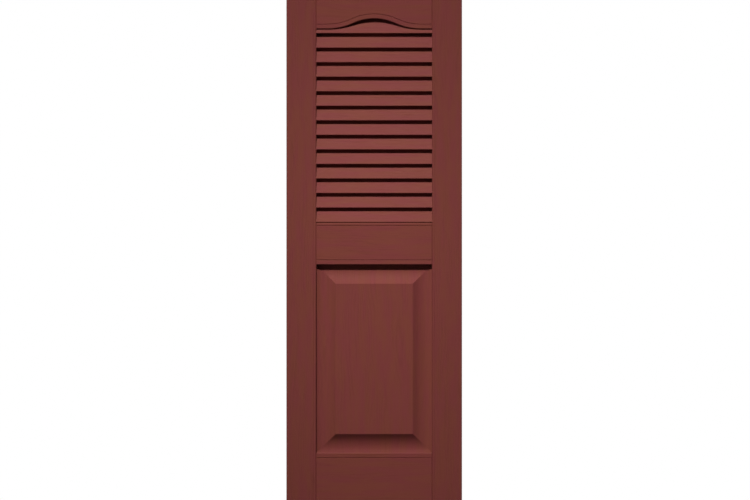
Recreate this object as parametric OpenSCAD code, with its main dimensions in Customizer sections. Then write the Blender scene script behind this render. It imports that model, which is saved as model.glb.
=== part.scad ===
// Cathedral-top louvred shutter with a raised lower panel.
// One hollow moulding: a frame, a bank of fixed slats and a coved panel in one skin, open at the back.
// X runs across the width, Z up from the foot. The wall plane is y = 0 and the face looks along -Y.
// Section drawings use depth, which is measured forwards from the wall plane.

/* [Overall] */
// Width across both stiles
shutter_w = 375; // [350:1:450]
// Height from the foot to the top
shutter_h = 1092; // [1000:1:1500]
// Depth from the wall plane to the face of the frame
face_depth = 27; // [25:0.5:34]
// Thickness of the moulded skin
wall = 2.8; // [2:0.1:3.4]
// Radius along the outer front edges
outer_edge_r = 1.6; // [0.6:0.1:2.4]

/* [Frame] */
// Width of a stile, its band included
stile_w = 64; // [50:0.5:75]
// Height of the bottom rail, its band included
bottom_rail_h = 112; // [80:1:160]
// Height of the middle rail's lower edge above the foot
mid_rail_z = 515; // [430:1:580]
// Height of the middle rail, both bands included
mid_rail_h = 89; // [60:0.5:120]
// Height of the top rail beside the arch, its band included
top_rail_h = 73.5; // [66:0.5:110]

/* [Mouldings] */
// Width of the flat band along the rails' inner edges
rail_band_w = 8.8; // [5:0.1:10]
// Width of the flat band along the middle rail's upper edge, under the slats
sill_band_w = 5; // [4:0.1:10]
// Width of the flat band along the stiles' inner edges
stile_band_w = 4.8; // [4:0.1:6]
// Radius along the rails' inner edges
rail_edge_r = 1.5; // [1:0.1:4]
// Radius along the stiles' inner edges
stile_edge_r = 3; // [2:0.1:4]
// Width of the groove between a band and the flat face
quirk_w = 1.6; // [1:0.1:3]
// Depth of that groove along the rails
rail_quirk_depth = 1.3; // [0.4:0.1:1.4]
// Depth of that groove along the stiles
stile_quirk_depth = 0.4; // [0.2:0.1:1.4]
// Lap of a rail's end over the rounded edge of the stile
rail_lap = 0.5; // [0.3:0.1:1]

/* [Arch] */
// Rise of the arch from its shoulders to its crown
arch_rise = 22; // [12:0.5:30]
// Distance from the crown to where the arch runs out
arch_half_w = 99; // [80:1:106]

/* [Slats] */
// Height from one slat to the next
slat_pitch = 31.05; // [26:0.05:40]
// Thickness of a slat
slat_t = 2.6; // [2.2:0.1:3.6]
// Lean of a slat from upright, its lower edge forwards
slat_tilt = 19.5; // [12:0.5:20]
// Height by which a slat reaches up behind the next one
slat_overlap = 5; // [3:0.5:7]
// Distance of the slats' lower edges behind the face
slat_setback = 0.6; // [0.3:0.1:4]
// Height of the gap between the middle rail and the lowest slat
slat_foot_gap = 1; // [0.5:0.1:4]
// Depth of that gap behind the slats' lower edges, where the rail closes it
slat_foot_depth = 2; // [1:0.1:2]

/* [Panel] */
// Distance of the raised field behind the face
field_setback = 0.5; // [0:0.1:3]
// Width of the shoulder round the field
shoulder_w = 5.5; // [4:0.5:10]
// Fall of the shoulder
shoulder_fall = 3.8; // [1:0.1:5]
// Width of the cove
cove_w = 24; // [18:0.5:34]
// Fall of the cove
cove_fall = 8; // [5:0.1:10]
// Width of the fillet between the cove and the frame
fillet_w = 11.5; // [6:0.5:14]
// Rise of that fillet up the frame
fillet_rise = 2.5; // [1:0.1:4]

/* [Back] */
// Thickness of a stiffening rib
rib_t = 2; // [1.5:0.1:3]
// Greatest distance between stiffening ribs
rib_pitch = 100; // [60:1:106]
// Distance of the ribs from the wall plane
rib_gap = 2; // [0.5:0.1:5]

/* [Hidden] */
$fn = 96;
arch_fn = 4 * $fn;
moulded_colour = [0.447, 0.231, 0.212];

// Half of the skin: walls and ribs run this far into each other
bite = wall / 2;
opening_w = shutter_w - 2 * stile_w;
opening_half = opening_w / 2;
mid_rail_top = mid_rail_z + mid_rail_h;
panel_h = mid_rail_z - bottom_rail_h;

// A rail's end meets the stile's edge this far below the face, and runs on into the wall behind
lap_drop = stile_edge_r - sqrt(pow(stile_edge_r, 2) - pow(stile_edge_r - rail_lap, 2));
rail_run_on = (wall - rail_lap) / 2;
rail_half = opening_half + rail_lap + rail_run_on;

// The arch is two equal reversed arcs, struck along the middle of the groove.
// Its heights are measured from the level edge beside it.
quirk_line = rail_band_w + quirk_w / 2;
edge_w = rail_band_w + quirk_w;
shoulder_z = shutter_h - top_rail_h;
crown_z = shoulder_z + arch_rise;
arch_r = (pow(arch_half_w, 2) + pow(arch_rise, 2)) / (4 * arch_rise);
crown_edge_r = arch_r - quirk_line;
flank_edge_r = arch_r + quirk_line;
crown_centre = [0, arch_rise - crown_edge_r];
flank_centre = [arch_half_w, flank_edge_r];

first_lip_z = mid_rail_top + slat_foot_gap;
slat_count = ceil((crown_z - first_lip_z - slat_overlap) / slat_pitch);
slat_length = (slat_pitch + slat_overlap - slat_t) / cos(slat_tilt);
slat_nose_depth = face_depth - slat_setback - slat_t / 2;
slat_back_depth = slat_nose_depth - slat_length * sin(slat_tilt);
upstand_depth = face_depth - slat_setback - slat_foot_depth;

field_depth = face_depth - field_setback;
cove_top_depth = field_depth - shoulder_fall;
valley_depth = cove_top_depth - cove_fall;
panel_margin = fillet_w + cove_w + shoulder_w;
cove_r = (pow(cove_w, 2) + pow(cove_fall, 2)) / (2 * cove_fall);
fillet_r = (pow(fillet_w, 2) + pow(fillet_rise, 2)) / (2 * fillet_rise);

// Placing of drawn sections
// A drawing of width against depth, run upwards
module run_up(height) {
    mirror([0, 1, 0]) linear_extrude(height) children();
}

// A drawing of height against depth, run along the width and centred on it
module run_across(width) {
    translate([-width / 2, 0, 0]) rotate(180, [1, 0, 1]) linear_extrude(width) children();
}

// A drawing of width against height, run forwards from one depth to another
module run_forward(from, to) {
    translate([0, -from, 0]) rotate([90, 0, 0]) linear_extrude(to - from) children();
}

// Sections of the frame
// A block with its two front corners rounded
module rounded_block(w, depth, left_r, right_r) {
    translate([left_r, 0]) square([w - left_r - right_r, depth]);
    square([left_r, depth - left_r]);
    translate([left_r, depth - left_r]) circle(left_r);
    translate([w - right_r, 0]) square([right_r, depth - right_r]);
    translate([w - right_r, depth - right_r]) circle(right_r);
}

// The hollow behind such a block's skin
module hollow(w) {
    translate([wall, -wall]) square([w - 2 * wall, face_depth]);
}

// The groove that sets a band off from the flat face
module quirk(band_w, depth) {
    translate([band_w, face_depth])
        polygon([[0, depth], [0, 0], [quirk_w / 2, -depth], [quirk_w, 0], [quirk_w, depth]]);
}

module stile_section() {
    difference() {
        rounded_block(stile_w, face_depth, stile_edge_r, outer_edge_r);
        hollow(stile_w);
        quirk(stile_band_w, stile_quirk_depth);
    }
}

module mid_rail_section() {
    difference() {
        rounded_block(mid_rail_h, face_depth, rail_edge_r, rail_edge_r);
        hollow(mid_rail_h);
        quirk(rail_band_w, rail_quirk_depth);
        translate([mid_rail_h, 0]) mirror([1, 0]) quirk(sill_band_w, rail_quirk_depth);
    }
}

// A rail with one moulded edge, drawn from that edge outwards
module end_rail_section(rail_h) {
    difference() {
        intersection() {
            rounded_block(rail_h + rail_edge_r, face_depth, rail_edge_r, rail_edge_r);
            square([rail_h, face_depth]);
        }
        hollow(rail_h);
        quirk(rail_band_w, rail_quirk_depth);
    }
}

// Inner wall, band and groove of the top rail, with a strip of the flat face to join on
module arch_edge_section() {
    intersection() {
        end_rail_section(top_rail_h);
        square([edge_w + wall, face_depth]);
    }
}

// Span of the rails, with ends that meet the stiles' edges in a fine V
module rail_span_section() {
    polygon([
        [-rail_half, -wall],
        [rail_half, -wall],
        [rail_half, face_depth - lap_drop - rail_run_on],
        [opening_half + rail_lap - lap_drop, face_depth],
        [lap_drop - rail_lap - opening_half, face_depth],
        [-rail_half, face_depth - lap_drop - rail_run_on]
    ]);
}

// The frame
module stiles() {
    for (side = [0, 1])
        mirror([side, 0, 0]) translate([opening_half, 0, 0]) run_up(shutter_h) stile_section();
}

module lower_rails() {
    translate([0, 0, mid_rail_z]) run_across(2 * rail_half) mid_rail_section();
    translate([0, 0, bottom_rail_h]) mirror([0, 0, 1]) run_across(2 * rail_half)
        end_rail_section(bottom_rail_h);
}

// The louvre opening seen from the front, grown into the frame by a given distance
module louvre_opening(grow) {
    half_w = opening_half + grow;
    height = shoulder_z - mid_rail_top;
    translate([0, shoulder_z]) {
        translate([-half_w, -height - grow]) square([2 * half_w, height + 2 * grow]);
        translate(crown_centre) circle(crown_edge_r + grow, $fn = arch_fn);
        for (side = [0, 1])
            mirror([side, 0]) difference() {
                polygon([crown_centre, flank_centre, [arch_half_w, -height], [0, -height]]);
                translate(flank_centre) circle(flank_edge_r - grow, $fn = arch_fn);
            }
    }
}

// A ring of the arch's edge, cut to the sector between given points seen from the front
module arch_sector(centre, sector) {
    intersection() {
        translate([centre[0], 0, centre[1]]) rotate([90, 0, 0]) rotate_extrude($fn = arch_fn) children();
        run_forward(0, face_depth) polygon(sector);
    }
}

// The moulded edge of the top rail: level shoulders, two hollow flanks and a round crown
module arch_edge() {
    level = rail_half - arch_half_w;
    flank_mirror = [-flank_centre[0], flank_centre[1]];
    flank_foot = [arch_half_w, crown_centre[1]];
    translate([0, 0, shoulder_z]) {
        for (side = [0, 1])
            mirror([side, 0, 0]) {
                translate([arch_half_w + level / 2, 0, 0]) run_across(level) arch_edge_section();
                arch_sector(flank_centre, [flank_centre, crown_centre, flank_foot])
                    translate([flank_edge_r, 0]) mirror([1, 0]) arch_edge_section();
            }
        arch_sector(crown_centre, [crown_centre, flank_centre, flank_mirror])
            translate([crown_edge_r, 0]) arch_edge_section();
    }
}

// Flat face of the top rail, and the wall along its top
module top_plate() {
    run_forward(face_depth - wall, face_depth) difference() {
        translate([-rail_half, shoulder_z]) square([2 * rail_half, top_rail_h]);
        louvre_opening(edge_w);
    }
    run_forward(0, face_depth - bite)
        translate([-rail_half, shutter_h - wall]) square([2 * rail_half, wall]);
}

module rails() {
    intersection() {
        union() {
            lower_rails();
            arch_edge();
            top_plate();
        }
        run_up(shutter_h) rail_span_section();
    }
}

// The stiles' open ends, closed at the foot and at the top
module stile_ends() {
    run_forward(0, face_depth - bite)
        for (side = [0, 1], z = [0, shutter_h - wall])
            mirror([side, 0]) translate([opening_half + bite, z]) square([stile_w - wall, wall]);
}

// Slats
module slat_section() {
    rotate(-slat_tilt) {
        circle(d = slat_t);
        translate([0, -slat_t / 2]) square([slat_length, slat_t]);
        translate([slat_length, 0]) circle(d = slat_t);
    }
}

// Upstand of the middle rail that closes the gap under the lowest slat from behind
module upstand_section() {
    translate([mid_rail_top - wall, upstand_depth - wall])
        square([wall + slat_foot_gap + slat_t, wall]);
}

module slats() {
    intersection() {
        run_across(2 * rail_half) {
            upstand_section();
            for (i = [0 : slat_count - 1])
                translate([first_lip_z + slat_t / 2 + i * slat_pitch, slat_nose_depth]) slat_section();
        }
        run_forward(0, face_depth) louvre_opening(bite);
    }
}

// Raised panel
// Section through the panel, from one side of its opening to the other
module panel_section(span) {
    edge = span + bite;
    difference() {
        polygon([
            [-bite, 0],
            [edge, 0],
            [edge, valley_depth],
            [span - fillet_w, valley_depth],
            [span - fillet_w - cove_w, cove_top_depth],
            [span - panel_margin, field_depth],
            [panel_margin, field_depth],
            [fillet_w + cove_w, cove_top_depth],
            [fillet_w, valley_depth],
            [-bite, valley_depth]
        ]);
        for (centre = [fillet_w, span - fillet_w])
            translate([centre, valley_depth + cove_r]) circle(cove_r, $fn = arch_fn);
    }
}

// Coves mitred at the corners, down to the wall plane
module panel_relief() {
    intersection() {
        translate([-opening_half, 0, bottom_rail_h - bite]) run_up(panel_h + 2 * bite) panel_section(opening_w);
        translate([0, 0, bottom_rail_h]) run_across(opening_w + 2 * bite) panel_section(panel_h);
    }
}

module fillet_section() {
    difference() {
        translate([-bite, valley_depth - bite]) square([fillet_w + bite, fillet_rise + bite]);
        translate([fillet_w, valley_depth + fillet_r]) circle(fillet_r);
    }
}

module panel_fillets() {
    for (side = [0, 1])
        mirror([side, 0, 0])
            translate([-opening_half, 0, bottom_rail_h - bite]) run_up(panel_h + 2 * bite) fillet_section();
    translate([0, 0, bottom_rail_h]) run_across(opening_w + 2 * bite) fillet_section();
    translate([0, 0, mid_rail_z]) mirror([0, 0, 1]) run_across(opening_w + 2 * bite) fillet_section();
}

module panel() {
    difference() {
        panel_relief();
        translate([0, wall, 0]) panel_relief();
    }
    panel_fillets();
}

// Stiffening ribs
// Places that divide a length into equal bays no longer than the rib pitch
function rib_places(from, to) =
    let (bays = ceil((to - from) / rib_pitch))
    [for (i = [1 : 1 : bays - 1]) from + (to - from) * i / bays];

// Upright and level strips across a width and a height, seen from the front
module upright_strips(z0, z1) {
    for (x = rib_places(-opening_half, opening_half))
        translate([x - rib_t / 2, z0]) square([rib_t, z1 - z0]);
}

module level_strips(x0, x1, z0, z1) {
    for (z = rib_places(z0, z1))
        translate([x0, z - rib_t / 2]) square([x1 - x0, rib_t]);
}

module frame_ribs() {
    run_forward(rib_gap, face_depth - bite) {
        for (side = [0, 1])
            mirror([side, 0])
                level_strips(opening_half + bite, shutter_w / 2 - bite, 0, shutter_h);
        upright_strips(bite, bottom_rail_h - bite);
        upright_strips(mid_rail_z + bite, mid_rail_top - bite);
        difference() {
            upright_strips(shoulder_z, shutter_h - bite);
            louvre_opening(bite);
        }
    }
}

module slat_ribs() {
    run_forward(rib_gap, slat_back_depth) intersection() {
        upright_strips(mid_rail_top - bite, shutter_h);
        louvre_opening(bite);
    }
}

module panel_ribs() {
    intersection() {
        run_forward(rib_gap, field_depth) {
            upright_strips(bottom_rail_h - bite, mid_rail_z + bite);
            level_strips(-opening_half - bite, opening_half + bite, bottom_rail_h, mid_rail_z);
        }
        translate([0, bite, 0]) panel_relief();
    }
}

// Outer form with the front edges of its foot and top rounded
module envelope() {
    run_across(shutter_w + 2 * wall) rounded_block(shutter_h, face_depth, outer_edge_r, outer_edge_r);
}

module shutter() {
    color(moulded_colour) intersection() {
        union() {
            stiles();
            stile_ends();
            rails();
            slats();
            panel();
            frame_ribs();
            slat_ribs();
            panel_ribs();
        }
        envelope();
    }
}

shutter();
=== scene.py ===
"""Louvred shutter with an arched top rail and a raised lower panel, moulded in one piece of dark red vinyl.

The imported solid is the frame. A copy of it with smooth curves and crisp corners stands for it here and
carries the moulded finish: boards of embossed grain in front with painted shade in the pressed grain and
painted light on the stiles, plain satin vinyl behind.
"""
import math

import bmesh
import bpy
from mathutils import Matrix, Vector


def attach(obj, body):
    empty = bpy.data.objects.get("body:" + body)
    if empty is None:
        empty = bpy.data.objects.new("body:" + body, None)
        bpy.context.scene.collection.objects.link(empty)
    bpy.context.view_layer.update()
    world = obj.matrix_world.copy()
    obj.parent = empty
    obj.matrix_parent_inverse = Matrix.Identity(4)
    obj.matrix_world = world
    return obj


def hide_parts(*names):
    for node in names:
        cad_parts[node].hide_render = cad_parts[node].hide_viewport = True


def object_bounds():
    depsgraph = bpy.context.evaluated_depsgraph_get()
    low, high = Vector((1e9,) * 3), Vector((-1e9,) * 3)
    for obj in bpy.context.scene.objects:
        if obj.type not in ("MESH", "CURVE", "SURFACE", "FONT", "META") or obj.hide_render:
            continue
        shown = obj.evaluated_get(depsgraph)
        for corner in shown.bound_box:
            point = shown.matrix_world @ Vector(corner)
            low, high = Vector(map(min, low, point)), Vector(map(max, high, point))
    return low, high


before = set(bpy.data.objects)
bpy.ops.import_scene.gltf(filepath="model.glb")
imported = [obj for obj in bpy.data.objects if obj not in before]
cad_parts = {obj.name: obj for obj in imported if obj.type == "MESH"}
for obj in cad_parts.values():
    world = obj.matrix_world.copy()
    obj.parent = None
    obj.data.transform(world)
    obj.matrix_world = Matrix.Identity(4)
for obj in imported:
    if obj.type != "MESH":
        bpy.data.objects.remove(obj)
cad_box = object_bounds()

# Photograph: an upright face seen square on, in a picture 750 pixels wide
PICTURE_W = 750
METRES_PER_PIXEL = 0.0021355
PICTURE_CENTRE = (0.0017, 0.546)
CAMERA_DISTANCE = 6.0
SENSOR_W = 36.0

# Boards that the moulding imitates, in metres
STILE_LINE = 0.124
PANEL_FOOT, PANEL_TOP = 0.112, 0.515
MID_RAIL_TOP = 0.604
SLAT_PITCH = 0.03105
# Numbers that give each board a grain of its own: a middle value and a step
STILE_BOARD, STILE_STEP = 5.0, 2.0
SLAT_BOARD, SLAT_STEP = 1.7, 0.73
# Share of a point's depth that counts as width of the grain
DEPTH_SHARE = 0.8

# Colour: two hues that the boards wander between, and how light the stiles and the rest are: painted light,
# the stiles darker and the infill lighter, for light that falls off towards the sides
VINYL_RED = (0.1545, 0.0346, 0.0320, 1.0)
VINYL_BROWN = (0.1525, 0.0388, 0.0280, 1.0)
STILE_PAINTED_DIMMING, INFILL_PAINTED_LIGHT, CLOUD_TONE = 0.960, 0.055, 0.06
CLOUDS_PER_METRE = (9.0, 9.0, 5.0)
# Shine
SHEEN = 0.045
ROUGHNESS, CLOUD_ROUGHNESS, PORE_ROUGHNESS = 0.52, 0.10, 0.12

# Grain in metres: spacing of growth lines, size of a pore, and patches across and along a board
LINE_SPACING = 0.006
PORE_W, PORE_L = 0.0007, 0.028
WANDER_PATCH = (0.045, 0.30)
LINE_PATCH = (0.012, 0.12)
HUE_PATCH = (0.016, 0.085)
# Offsets that keep these noises apart
LINE_SEED, PORE_SEED, HUE_SEED = 7.3, 3.1, 5.7
# Lines by which the growth lines wander, and how narrow each line is
WANDER_LINES, LINE_SHARPNESS = 9.0, 2.2
# Noise values between which a thing comes in
LINE_FADE = (0.35, 0.65)
PORE_FADE = (0.52, 0.70)
HUE_FADE = (0.32, 0.68)
# Forward lean of a face between which grain comes in
FRONT_FADE = (0.15, 0.45)
# Depth of the relief, and the painted shade that darkens its pressed lines and pores
LINE_DEPTH, PORE_DEPTH = 0.45, 0.55
LINE_SHADE, PORE_SHADE = 0.07, 0.05
PEEL_PER_METRE, PEEL_DEPTH = (700.0, 700.0, 700.0), 0.10
BUMP_STRENGTH, BUMP_DISTANCE = 0.6, 0.00022

# Mesh: points nearer than this are one, edges sharper than the crease stay sharp, and a normal off the
# depth axis by more than the lean counts as leaning
MERGE_DISTANCE = 2e-6
CREASE = math.radians(13)
LEAN = 0.01
FLAT_WEIGHT = 100

# Lamps in watts, metres and degrees: power, size, turn to the left of the face, rise above level, reach,
# height looked at, and for a lamp with a soft-edged cone the cone's angle
LAMPS = {
    "key": (4800.0, 1.0, 7.0, 46.5, 10.0, 0.57, 7.0),
    "wash": (680.0, 1.0, 7.0, 46.5, 10.0, 0.50, 0.0),
    "fill": (45.0, 4.0, 60.0, 15.0, 7.0, 0.50, 0.0),
    "back": (330.0, 1.6, 200.0, 35.0, 6.0, 0.546, 0.0),
}
AMBIENT = 0.005

# Floor: half its width, its front and back edges, and its greys as seen and for stray light
FLOOR_HALF_W = 1.3
FLOOR_FRONT, FLOOR_BACK = -1.6, 0.095
PAPER_GREY, GLOW_GREY, GLOW_SHARE, STRAY_GREY = 0.86, 0.9, 0.5, 0.08

scene = bpy.context.scene
scene.view_settings.view_transform = "Standard"


# Shader helpers

def add(tree, kind, **values):
    node = tree.nodes.new(kind)
    for name, value in values.items():
        setattr(node, name, value)
    return node


def feed(tree, value, socket):
    """A link where value is a socket, and a plain number otherwise."""
    if hasattr(value, "is_output"):
        tree.links.new(value, socket)
    else:
        socket.default_value = value


def maths(tree, operation, first, second=0.0, third=0.0):
    node = add(tree, "ShaderNodeMath", operation=operation)
    for socket, value in zip(node.inputs, (first, second, third)):
        feed(tree, value, socket)
    return node.outputs[0]


def vector(tree, x, y, z):
    node = tree.nodes.new("ShaderNodeCombineXYZ")
    for socket, value in zip(node.inputs, (x, y, z)):
        feed(tree, value, socket)
    return node.outputs[0]


def noise(tree, place, detail, roughness):
    node = add(tree, "ShaderNodeTexNoise", noise_dimensions="3D")
    tree.links.new(place, node.inputs["Vector"])
    node.inputs["Scale"].default_value = 1.0
    node.inputs["Detail"].default_value = detail
    node.inputs["Roughness"].default_value = roughness
    return node.outputs["Fac"]


def fade(tree, value, limits):
    """Zero below the limits, one above them and smooth in between."""
    node = add(tree, "ShaderNodeMapRange", interpolation_type="SMOOTHSTEP")
    tree.links.new(value, node.inputs["Value"])
    node.inputs["From Min"].default_value, node.inputs["From Max"].default_value = limits
    return node.outputs["Result"]


def on_board(tree, across, along, patch, board):
    """A place for noise whose patches have a given size across and along a board."""
    width, length = patch
    return vector(tree, maths(tree, "DIVIDE", across, width), maths(tree, "DIVIDE", along, length), board)


def in_space(tree, point, per_metre):
    """A place for noise with a given number of patches to the metre along each axis."""
    return vector(tree, *[maths(tree, "MULTIPLY", point.outputs[axis], count)
                          for axis, count in zip("XYZ", per_metre)])


def grey(level):
    return (level, level, level, 1)


def group_tree(name, inputs, outputs):
    tree = bpy.data.node_groups.new(name, "ShaderNodeTree")
    for label, default in inputs:
        socket = tree.interface.new_socket(label, in_out="INPUT", socket_type="NodeSocketFloat")
        socket.default_value = default
    for label in outputs:
        tree.interface.new_socket(label, in_out="OUTPUT", socket_type="NodeSocketFloat")
    return tree, tree.nodes.new("NodeGroupInput"), tree.nodes.new("NodeGroupOutput")


# Finish

def embossed_grain():
    """Grain pressed into a board: growth lines that wander along it, and short fine pores."""
    tree, given, result = group_tree(
        "embossed_grain",
        [("Across", 0.0), ("Along", 0.0), ("Board", 0.0), ("Line Spacing", LINE_SPACING),
         ("Pore Width", PORE_W), ("Pore Length", PORE_L)],
        ["Lines", "Pores", "Height"])
    across, along, board, spacing, pore_w, pore_l = given.outputs[0:6]
    # Slow wander of the growth lines
    wander = noise(tree, on_board(tree, across, along, WANDER_PATCH, board), 2.0, 0.5)
    ring = maths(tree, "MULTIPLY_ADD", wander, WANDER_LINES, maths(tree, "DIVIDE", across, spacing))
    turn = maths(tree, "MULTIPLY", ring, 2 * math.pi)
    wave = maths(tree, "MULTIPLY_ADD", maths(tree, "SINE", turn), 0.5, 0.5)
    # Each line comes and goes along the board
    line_board = maths(tree, "ADD", board, LINE_SEED)
    strength = noise(tree, on_board(tree, across, along, LINE_PATCH, line_board), 1.0, 0.5)
    narrow = maths(tree, "POWER", wave, LINE_SHARPNESS)
    lines = maths(tree, "MULTIPLY", narrow, fade(tree, strength, LINE_FADE))
    pore_board = maths(tree, "ADD", board, PORE_SEED)
    pore_noise = noise(tree, on_board(tree, across, along, (pore_w, pore_l), pore_board), 2.0, 0.55)
    pores = fade(tree, pore_noise, PORE_FADE)
    height = maths(tree, "SUBTRACT", maths(tree, "MULTIPLY", lines, -LINE_DEPTH),
                   maths(tree, "MULTIPLY", pores, PORE_DEPTH))
    tree.links.new(lines, result.inputs["Lines"])
    tree.links.new(pores, result.inputs["Pores"])
    tree.links.new(height, result.inputs["Height"])
    return tree


def board_layout():
    """Which board a point lies on. Grain runs up the stiles and the panel, and across the rails and slats."""
    tree, given, result = group_tree(
        "board_layout", [("X", 0.0), ("Y", 0.0), ("Z", 0.0)], ["Across", "Along", "Board", "Infill"])
    x, y, z = given.outputs[0:3]
    stile = maths(tree, "GREATER_THAN", maths(tree, "ABSOLUTE", x), STILE_LINE)
    infill = maths(tree, "SUBTRACT", 1.0, stile)
    panel = maths(tree, "MULTIPLY", maths(tree, "GREATER_THAN", z, PANEL_FOOT),
                  maths(tree, "LESS_THAN", z, PANEL_TOP))
    upright = maths(tree, "MAXIMUM", stile, panel)
    # Depth joins the width of the grain, so that the edges of stiles, rails and slats carry it round.
    # On the panel it runs straight up over the coves.
    wide_x = maths(tree, "MULTIPLY_ADD", maths(tree, "MULTIPLY", y, stile), DEPTH_SHARE, x)
    wide_z = maths(tree, "MULTIPLY_ADD", y, DEPTH_SHARE, z)

    def pick(flat, tall):
        return maths(tree, "MULTIPLY_ADD", upright, maths(tree, "SUBTRACT", tall, flat), flat)

    side = maths(tree, "MULTIPLY", stile,
                 maths(tree, "MULTIPLY_ADD", maths(tree, "SIGN", x), STILE_STEP, STILE_BOARD))
    # Above the middle rail each slat is a board of its own
    slat = maths(tree, "FLOOR", maths(tree, "DIVIDE", maths(tree, "SUBTRACT", z, MID_RAIL_TOP), SLAT_PITCH))
    louvre = maths(tree, "MULTIPLY", maths(tree, "GREATER_THAN", z, MID_RAIL_TOP), infill)
    upper = maths(tree, "MULTIPLY", louvre, maths(tree, "MULTIPLY_ADD", slat, SLAT_STEP, SLAT_BOARD))
    lower = maths(tree, "MULTIPLY", panel, infill)
    tree.links.new(pick(wide_z, wide_x), result.inputs["Across"])
    tree.links.new(pick(x, z), result.inputs["Along"])
    tree.links.new(infill, result.inputs["Infill"])
    tree.links.new(maths(tree, "ADD", side, maths(tree, "ADD", upper, lower)), result.inputs["Board"])
    return tree


def moulded_vinyl():
    """Satin vinyl coloured right through, with grain on the faces that look forwards, painted shade in the
    pressed grain, and painted light that leaves the stiles darker than the infill.
    """
    material = bpy.data.materials.new("moulded_vinyl")
    material.use_nodes = True
    tree = material.node_tree
    tree.nodes.clear()
    out = add(tree, "ShaderNodeOutputMaterial")
    skin = add(tree, "ShaderNodeBsdfPrincipled")
    tree.links.new(skin.outputs["BSDF"], out.inputs["Surface"])
    skin.inputs["Specular IOR Level"].default_value = SHEEN

    place = add(tree, "ShaderNodeTexCoord")
    point = add(tree, "ShaderNodeSeparateXYZ")
    tree.links.new(place.outputs["Object"], point.inputs[0])
    facing = add(tree, "ShaderNodeSeparateXYZ")
    tree.links.new(place.outputs["Normal"], facing.inputs[0])
    front = fade(tree, maths(tree, "MULTIPLY", facing.outputs["Y"], -1.0), FRONT_FADE)

    layout = add(tree, "ShaderNodeGroup", node_tree=board_layout())
    for axis in "XYZ":
        tree.links.new(point.outputs[axis], layout.inputs[axis])
    across, along, board, infill = layout.outputs[0:4]
    grain = add(tree, "ShaderNodeGroup", node_tree=embossed_grain())
    for name in ("Across", "Along", "Board"):
        tree.links.new(layout.outputs[name], grain.inputs[name])
    lines, pores, relief = grain.outputs[0:3]

    # Faint cloudiness of the pigment, painted light that leaves the stiles darker than the infill, and
    # painted shade in the pressed lines and pores
    cloud = noise(tree, in_space(tree, point, CLOUDS_PER_METRE), 3.0, 0.5)
    painted_groove_shade = maths(tree, "MULTIPLY_ADD", lines, LINE_SHADE, maths(tree, "MULTIPLY", pores, PORE_SHADE))
    painted_light_and_cloud = maths(tree, "MULTIPLY_ADD", infill, INFILL_PAINTED_LIGHT,
                 maths(tree, "MULTIPLY_ADD", cloud, CLOUD_TONE, STILE_PAINTED_DIMMING))
    cloud_with_painted_light_and_shade = maths(tree, "SUBTRACT", painted_light_and_cloud, maths(tree, "MULTIPLY", painted_groove_shade, front))
    # The colour itself wanders a little between red and brown along the boards
    hue_board = maths(tree, "ADD", board, HUE_SEED)
    drift = noise(tree, on_board(tree, across, along, HUE_PATCH, hue_board), 2.0, 0.5)
    hue = add(tree, "ShaderNodeMix", data_type="RGBA")
    tree.links.new(fade(tree, drift, HUE_FADE), hue.inputs[0])
    hue.inputs[6].default_value = VINYL_RED
    hue.inputs[7].default_value = VINYL_BROWN
    tint = add(tree, "ShaderNodeVectorMath", operation="SCALE")
    tree.links.new(hue.outputs[2], tint.inputs[0])
    tree.links.new(cloud_with_painted_light_and_shade, tint.inputs["Scale"])
    tree.links.new(tint.outputs[0], skin.inputs["Base Color"])

    rough = maths(tree, "MULTIPLY_ADD", maths(tree, "MULTIPLY", pores, front), PORE_ROUGHNESS,
                  maths(tree, "MULTIPLY_ADD", cloud, CLOUD_ROUGHNESS, ROUGHNESS))
    tree.links.new(rough, skin.inputs["Roughness"])

    # Every face has the fine orange peel of the mould, and those behind have nothing else
    peel = noise(tree, in_space(tree, point, PEEL_PER_METRE), 1.0, 0.5)
    height = maths(tree, "MULTIPLY_ADD", peel, PEEL_DEPTH, maths(tree, "MULTIPLY", relief, front))
    bump = add(tree, "ShaderNodeBump")
    bump.inputs["Strength"].default_value = BUMP_STRENGTH
    bump.inputs["Distance"].default_value = BUMP_DISTANCE
    tree.links.new(height, bump.inputs["Height"])
    tree.links.new(bump.outputs["Normal"], skin.inputs["Normal"])
    return material


# The moulding

def is_crease(edge):
    """An edge the mould has, and not a facet line of a curve: a corner, or the mitre of two coves."""
    if len(edge.link_faces) != 2 or edge.calc_face_angle(0.0) > CREASE:
        return True
    leans = [abs(face.normal.x) > abs(face.normal.z) for face in edge.link_faces
             if max(abs(face.normal.x), abs(face.normal.z)) > LEAN]
    return len(set(leans)) == 2


def frozen_mesh(piece):
    """The mesh of a piece as its modifiers leave it."""
    bpy.context.view_layer.update()
    evaluated = piece.evaluated_get(bpy.context.evaluated_depsgraph_get())
    return bpy.data.meshes.new_from_object(evaluated)


def smooth_copy(node, name):
    """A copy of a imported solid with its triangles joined, its curves smooth and its flats flat."""
    form = bmesh.new()
    form.from_mesh(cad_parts[node].data)
    bmesh.ops.remove_doubles(form, verts=form.verts, dist=MERGE_DISTANCE)
    for face in form.faces:
        face.smooth = True
    for edge in form.edges:
        edge.smooth = not is_crease(edge)
    mesh = bpy.data.meshes.new(name)
    form.to_mesh(mesh)
    form.free()
    mesh.materials.clear()
    piece = bpy.data.objects.new(name, mesh)
    scene.collection.objects.link(piece)
    flats = piece.modifiers.new("flats", "WEIGHTED_NORMAL")
    flats.keep_sharp = True
    flats.weight = FLAT_WEIGHT
    frozen = frozen_mesh(piece)
    piece.modifiers.clear()
    piece.data = frozen
    return piece


shutter = smooth_copy("shutter", "moulded_shutter")
shutter.data.materials.append(moulded_vinyl())
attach(shutter, "root")
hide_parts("shutter")


# Studio

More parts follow.
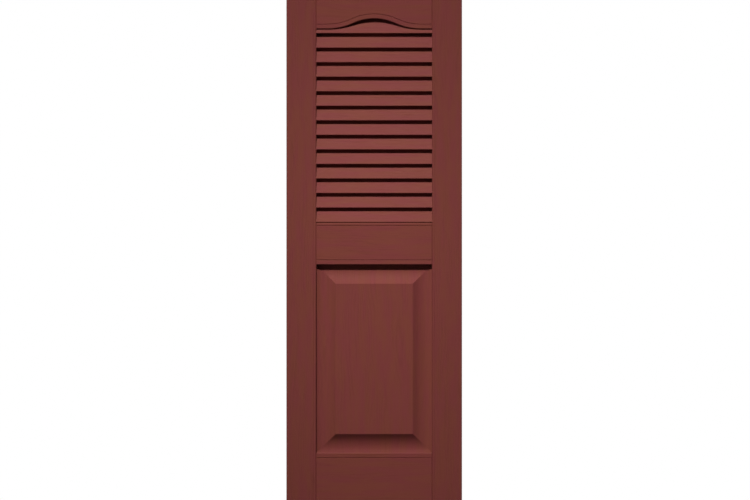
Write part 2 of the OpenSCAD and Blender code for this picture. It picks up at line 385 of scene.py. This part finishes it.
def seen_directly(tree):
    """One for what the eye meets straight, in a reflection or through glass, and zero for stray light."""
    path = tree.nodes.new("ShaderNodeLightPath")
    straight = maths(tree, "MAXIMUM", path.outputs["Is Camera Ray"], path.outputs["Is Glossy Ray"])
    return maths(tree, "MAXIMUM", straight, path.outputs["Is Transmission Ray"])


def shown_or_stray(tree, shown, stray, out):
    """One shader for what is seen, and another for the light that it throws back."""
    mix = tree.nodes.new("ShaderNodeMixShader")
    tree.links.new(seen_directly(tree), mix.inputs[0])
    tree.links.new(stray.outputs[0], mix.inputs[1])
    tree.links.new(shown.outputs[0], mix.inputs[2])
    tree.links.new(mix.outputs[0], out.inputs["Surface"])


def shade(tree, kind, level):
    node = tree.nodes.new(kind)
    node.inputs["Color"].default_value = grey(level)
    return node


def white_surroundings():
    world = bpy.data.worlds.new("white_surroundings")
    scene.world = world
    world.use_nodes = True
    tree = world.node_tree
    tree.nodes.clear()
    stray = shade(tree, "ShaderNodeBackground", 1)
    stray.inputs["Strength"].default_value = AMBIENT
    white = shade(tree, "ShaderNodeBackground", 1)
    shown_or_stray(tree, white, stray, tree.nodes.new("ShaderNodeOutputWorld"))


def pale_floor():
    """A pale sheet under the foot, which shows a soft shadow and throws little light back up."""
    mesh = bpy.data.meshes.new("floor")
    corners = [(-FLOOR_HALF_W, FLOOR_FRONT, 0), (FLOOR_HALF_W, FLOOR_FRONT, 0),
               (FLOOR_HALF_W, FLOOR_BACK, 0), (-FLOOR_HALF_W, FLOOR_BACK, 0)]
    mesh.from_pydata(corners, [], [(0, 1, 2, 3)])
    floor = bpy.data.objects.new("floor", mesh)
    scene.collection.objects.link(floor)
    material = bpy.data.materials.new("floor_paper")
    material.use_nodes = True
    tree = material.node_tree
    tree.nodes.clear()
    paper = shade(tree, "ShaderNodeBsdfDiffuse", PAPER_GREY)
    glow = shade(tree, "ShaderNodeEmission", GLOW_GREY)
    shown = tree.nodes.new("ShaderNodeMixShader")
    shown.inputs[0].default_value = GLOW_SHARE
    tree.links.new(paper.outputs[0], shown.inputs[1])
    tree.links.new(glow.outputs[0], shown.inputs[2])
    dull = shade(tree, "ShaderNodeBsdfDiffuse", STRAY_GREY)
    shown_or_stray(tree, shown, dull, tree.nodes.new("ShaderNodeOutputMaterial"))
    mesh.materials.append(material)


def lamp(name, power, size, turn, rise, reach, height, cone):
    """A square or cone lamp that looks at a height of the shutter's middle line."""
    if cone:
        light = bpy.data.lights.new(name, "SPOT")
        light.shadow_soft_size = size / 2
        light.spot_size = math.radians(cone)
        light.spot_blend = 1.0
    else:
        light = bpy.data.lights.new(name, "AREA")
        light.size = size
    light.energy = power
    holder = bpy.data.objects.new(name, light)
    scene.collection.objects.link(holder)
    t, r = math.radians(turn), math.radians(rise)
    away = Vector((-math.sin(t) * math.cos(r), -math.cos(t) * math.cos(r), math.sin(r)))
    holder.location = Vector((0, 0, height)) + away * reach
    holder.rotation_euler = away.to_track_quat("Z", "Y").to_euler()


def photo_camera():
    """The photograph's view, with the face of the frame at its scale."""
    eye = bpy.data.cameras.new("camera")
    eye.sensor_fit = "HORIZONTAL"
    eye.sensor_width = SENSOR_W
    eye.lens = SENSOR_W * CAMERA_DISTANCE / (PICTURE_W * METRES_PER_PIXEL)
    holder = bpy.data.objects.new("camera", eye)
    scene.collection.objects.link(holder)
    face = cad_box[0][1]
    holder.location = (PICTURE_CENTRE[0], face - CAMERA_DISTANCE, PICTURE_CENTRE[1])
    holder.rotation_euler = (math.radians(90), 0, 0)
    scene.camera = holder


white_surroundings()
pale_floor()
for name, settings in LAMPS.items():
    lamp(name, *settings)
photo_camera()
